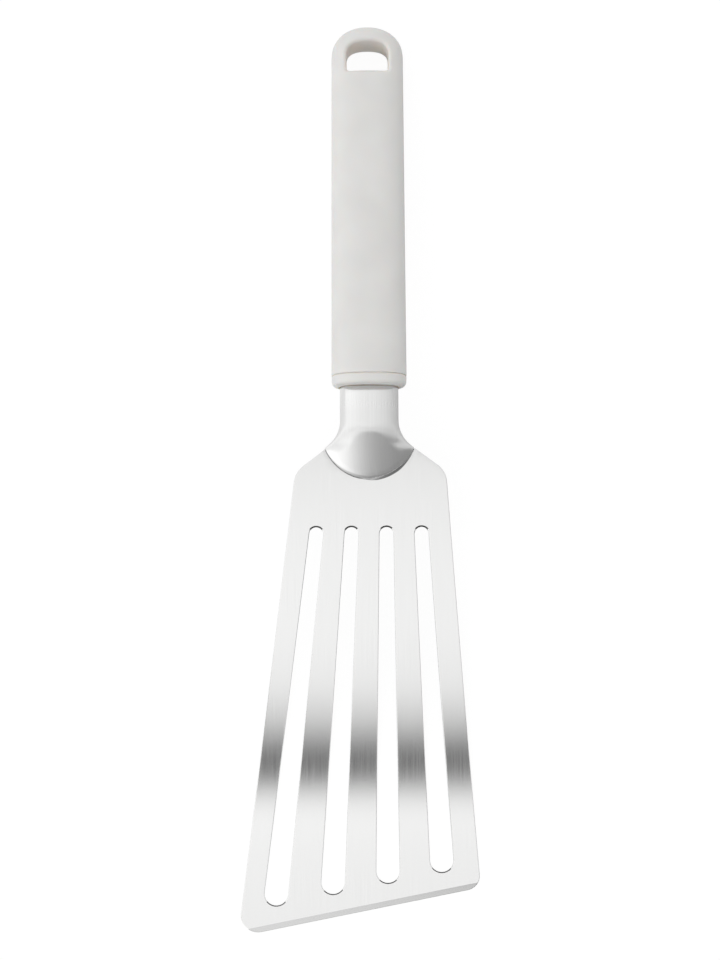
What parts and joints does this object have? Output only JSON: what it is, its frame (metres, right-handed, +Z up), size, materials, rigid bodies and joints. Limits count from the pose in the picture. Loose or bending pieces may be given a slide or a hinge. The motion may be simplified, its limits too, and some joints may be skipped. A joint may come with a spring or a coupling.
{
  "type": "slotted turner",
  "caption": "Kitchen turner with a thin bowed steel blade, fanned slots, a slanted bevelled front edge and a hollow plastic handle with a hang hole.",
  "frame": {"origin": "middle of the turner's box seen from above, at the height of the table that it rests on", "axes": "+Y along the turner from the blade to the handle's butt, +Z up from the table, +X to the right with the blade's face up and the butt away"},
  "size_m": [0.0888, 0.334, 0.0345],
  "materials": {
    "blade_steel": "fine lengthwise brushing on both faces, ground bevel along the front edge",
    "neck_steel": "fine lengthwise brushing over a smooth pressing",
    "handle_plastic": "smooth satin off-white moulding with a very fine grain",
    "insert_nylon": "plain moulded, hidden in the handle",
    "pin_steel": "plain turned, hidden in the handle"
  },
  "bodies": {
    "root": {"blade": "blade_steel", "neck": "neck_steel", "collar": "handle_plastic", "grip": "handle_plastic", "insert_upper": "insert_nylon", "insert_lower": "insert_nylon", "pin_front": "pin_steel", "pin_rear": "pin_steel"}
  },
  "joints": []
}
